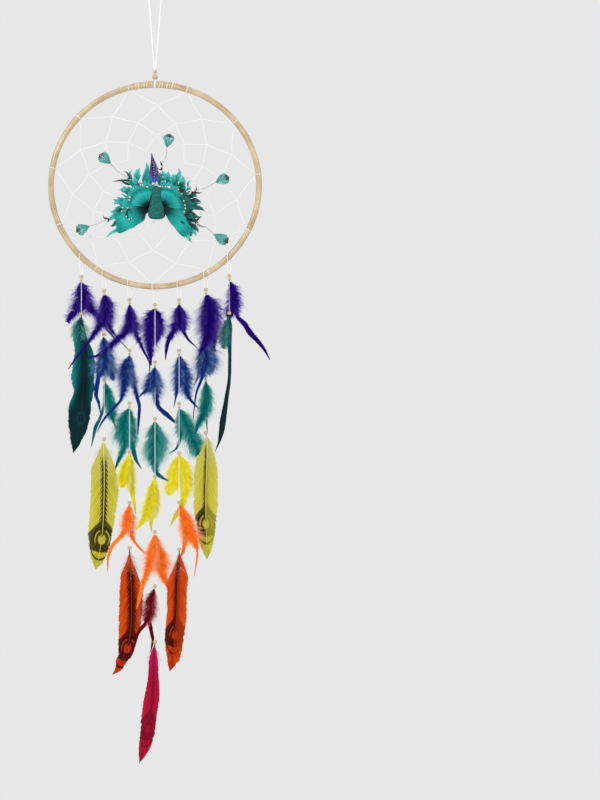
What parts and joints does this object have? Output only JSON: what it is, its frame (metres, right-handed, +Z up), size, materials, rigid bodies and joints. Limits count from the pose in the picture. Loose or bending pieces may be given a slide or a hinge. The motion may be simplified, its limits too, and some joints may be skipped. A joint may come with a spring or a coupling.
{
  "type": "dream catcher",
  "caption": "Hanging dream catcher: a rattan hoop with a thread web and a feather peacock, and strands of beads and dyed feathers below.",
  "frame": {"origin": "top of the hanging loop, where it rests on its hook", "axes": "+Z up, +X to the right seen from the front, the front (peacock side) faces -Y"},
  "size_m": [0.32, 0.0383, 1.1515],
  "materials": {
    "cord": "matt cotton cord",
    "web_thread": "fine waxed thread",
    "strand_thread": "matt cotton thread",
    "cane": "smooth peeled rattan, satin",
    "binding": "split cane strip, satin",
    "bead": "turned wood, satin",
    "felt": "matt wool felt",
    "feather_teal": "dyed feather, soft sheen",
    "crest": "stripped peacock feather, metallic sheen",
    "gem": "faceted silvered rhinestones",
    "plume": "glossy trimmed plume on a thin wire",
    "feather_dark_green": "dyed goose feather, soft sheen",
    "feather_purple": "dyed hackle, soft sheen",
    "feather_blue": "dyed hackle, soft sheen",
    "feather_yellow": "dyed hackle, soft sheen",
    "feather_lime": "dyed and printed goose feather, soft sheen",
    "feather_orange": "dyed hackle, soft sheen",
    "feather_rust": "dyed and printed goose feather, soft sheen",
    "feather_crimson": "dyed hackle, soft sheen",
    "feather_pink": "dyed and printed goose feather, soft sheen"
  },
  "bodies": {
    "loop": {"hanging_loop": "cord"},
    "hanger": {"hanger_cord": "cord", "hanger_bead_large": "bead", "hanger_bead_small": "bead"},
    "hoop": {"hoop": "cane", "hoop_binding": "binding", "web": "web_thread", "peacock_body": "felt", "peacock_fan_left": "feather_teal", "peacock_fan_right": "feather_teal", "peacock_crest": "crest", "peacock_gems": "gem", "plume_1": "plume", "plume_2": "plume", "plume_3": "plume", "plume_4": "plume", "plume_5": "plume"},
    "strand_1_upper": {"strand_1_cord_upper": "strand_thread", "strand_1_purple": "feather_purple"},
    "strand_1_tail": {"strand_1_tail_feather": "feather_dark_green"},
    "strand_2_upper": {"strand_2_cord_upper": "strand_thread", "strand_2_purple": "feather_purple", "strand_2_blue": "feather_blue"},
    "strand_2_lower": {"strand_2_cord_lower": "strand_thread", "strand_2_teal": "feather_teal"},
    "strand_2_tail": {"strand_2_tail_feather": "feather_lime"},
    "strand_3_upper": {"strand_3_cord_upper": "strand_thread", "strand_3_purple": "feather_purple", "strand_3_blue": "feather_blue"},
    "strand_3_lower": {"strand_3_cord_lower": "strand_thread", "strand_3_teal": "feather_teal", "strand_3_yellow": "feather_yellow", "strand_3_orange": "feather_orange"},
    "strand_3_tail": {"strand_3_tail_feather": "feather_rust"},
    "strand_4_upper": {"strand_4_cord_upper": "strand_thread", "strand_4_purple": "feather_purple", "strand_4_blue": "feather_blue", "strand_4_teal": "feather_teal"},
    "strand_4_lower": {"strand_4_cord_lower": "strand_thread", "strand_4_yellow": "feather_yellow", "strand_4_orange": "feather_orange", "strand_4_crimson": "feather_crimson"},
    "strand_4_tail": {"strand_4_tail_feather": "feather_pink"},
    "strand_5_upper": {"strand_5_cord_upper": "strand_thread", "strand_5_purple": "feather_purple", "strand_5_blue": "feather_blue"},
    "strand_5_lower": {"strand_5_cord_lower": "strand_thread", "strand_5_teal": "feather_teal", "strand_5_yellow": "feather_yellow", "strand_5_orange": "feather_orange"},
    "strand_5_tail": {"strand_5_tail_feather": "feather_rust"},
    "strand_6_upper": {"strand_6_cord_upper": "strand_thread", "strand_6_purple": "feather_purple", "strand_6_blue": "feather_blue"},
    "strand_6_lower": {"strand_6_cord_lower": "strand_thread", "strand_6_teal": "feather_teal"},
    "strand_6_tail": {"strand_6_tail_feather": "feather_lime"},
    "strand_7_upper": {"strand_7_cord_upper": "strand_thread", "strand_7_purple": "feather_purple"},
    "strand_7_tail": {"strand_7_tail_feather": "feather_dark_green"}
  },
  "joints": [
    {"name": "hanger_spin", "type": "hinge", "parent": "loop", "child": "hanger", "pos_m": [0, 0, -0.1143], "axis": [0, 0, 1], "range_deg": [-180, 180]},
    {"name": "hoop_tilt", "type": "hinge", "parent": "hanger", "child": "hoop", "pos_m": [0, 0, -0.1385], "axis": [1, 0, 0], "range_deg": [-15, 15]},
    {"name": "strand_1_swing", "type": "hinge", "parent": "hoop", "child": "strand_1_upper", "pos_m": [-0.11, 0, -0.39623], "axis": [1, 0, 0], "range_deg": [-35, 35]},
    {"name": "strand_1_tail_twist", "type": "hinge", "parent": "strand_1_upper", "child": "strand_1_tail", "pos_m": [-0.11, 0, -0.48123], "axis": [0, 0, 1], "range_deg": [-90, 90]},
    {"name": "strand_2_swing", "type": "hinge", "parent": "hoop", "child": "strand_2_upper", "pos_m": [-0.076, 0, -0.42124], "axis": [1, 0, 0], "range_deg": [-35, 35]},
    {"name": "strand_2_lower_swing", "type": "hinge", "parent": "strand_2_upper", "child": "strand_2_lower", "pos_m": [-0.076, 0, -0.58074], "axis": [1, 0, 0], "range_deg": [-30, 30]},
    {"name": "strand_2_tail_twist", "type": "hinge", "parent": "strand_2_lower", "child": "strand_2_tail", "pos_m": [-0.076, 0, -0.66824], "axis": [0, 0, 1], "range_deg": [-90, 90]},
    {"name": "strand_3_swing", "type": "hinge", "parent": "hoop", "child": "strand_3_upper", "pos_m": [-0.038, 0, -0.43592], "axis": [1, 0, 0], "range_deg": [-35, 35]},
    {"name": "strand_3_lower_swing", "type": "hinge", "parent": "strand_3_upper", "child": "strand_3_lower", "pos_m": [-0.038, 0, -0.61492], "axis": [1, 0, 0], "range_deg": [-30, 30]},
    {"name": "strand_3_tail_twist", "type": "hinge", "parent": "strand_3_lower", "child": "strand_3_tail", "pos_m": [-0.038, 0, -0.83092], "axis": [0, 0, 1], "range_deg": [-90, 90]},
    {"name": "strand_4_swing", "type": "hinge", "parent": "hoop", "child": "strand_4_upper", "pos_m": [0, 0, -0.4405], "axis": [1, 0, 0], "range_deg": [-35, 35]},
    {"name": "strand_4_lower_swing", "type": "hinge", "parent": "strand_4_upper", "child": "strand_4_lower", "pos_m": [0, 0, -0.725], "axis": [1, 0, 0], "range_deg": [-30, 30]},
    {"name": "strand_4_tail_twist", "type": "hinge", "parent": "strand_4_lower", "child": "strand_4_tail", "pos_m": [0, 0, -0.9715], "axis": [0, 0, 1], "range_deg": [-90, 90]},
    {"name": "strand_5_swing", "type": "hinge", "parent": "hoop", "child": "strand_5_upper", "pos_m": [0.036, 0, -0.4364], "axis": [1, 0, 0], "range_deg": [-35, 35]},
    {"name": "strand_5_lower_swing", "type": "hinge", "parent": "strand_5_upper", "child": "strand_5_lower", "pos_m": [0.036, 0, -0.6154], "axis": [1, 0, 0], "range_deg": [-30, 30]},
    {"name": "strand_5_tail_twist", "type": "hinge", "parent": "strand_5_lower", "child": "strand_5_tail", "pos_m": [0.036, 0, -0.8334], "axis": [0, 0, 1], "range_deg": [-90, 90]},
    {"name": "strand_6_swing", "type": "hinge", "parent": "hoop", "child": "strand_6_upper", "pos_m": [0.076, 0, -0.42124], "axis": [1, 0, 0], "range_deg": [-35, 35]},
    {"name": "strand_6_lower_swing", "type": "hinge", "parent": "strand_6_upper", "child": "strand_6_lower", "pos_m": [0.076, 0, -0.57424], "axis": [1, 0, 0], "range_deg": [-30, 30]},
    {"name": "strand_6_tail_twist", "type": "hinge", "parent": "strand_6_lower", "child": "strand_6_tail", "pos_m": [0.076, 0, -0.65924], "axis": [0, 0, 1], "range_deg": [-90, 90]},
    {"name": "strand_7_swing", "type": "hinge", "parent": "hoop", "child": "strand_7_upper", "pos_m": [0.111, 0, -0.39525], "axis": [1, 0, 0], "range_deg": [-35, 35]},
    {"name": "strand_7_tail_twist", "type": "hinge", "parent": "strand_7_upper", "child": "strand_7_tail", "pos_m": [0.111, 0, -0.48025], "axis": [0, 0, 1], "range_deg": [-90, 90]}
  ]
}
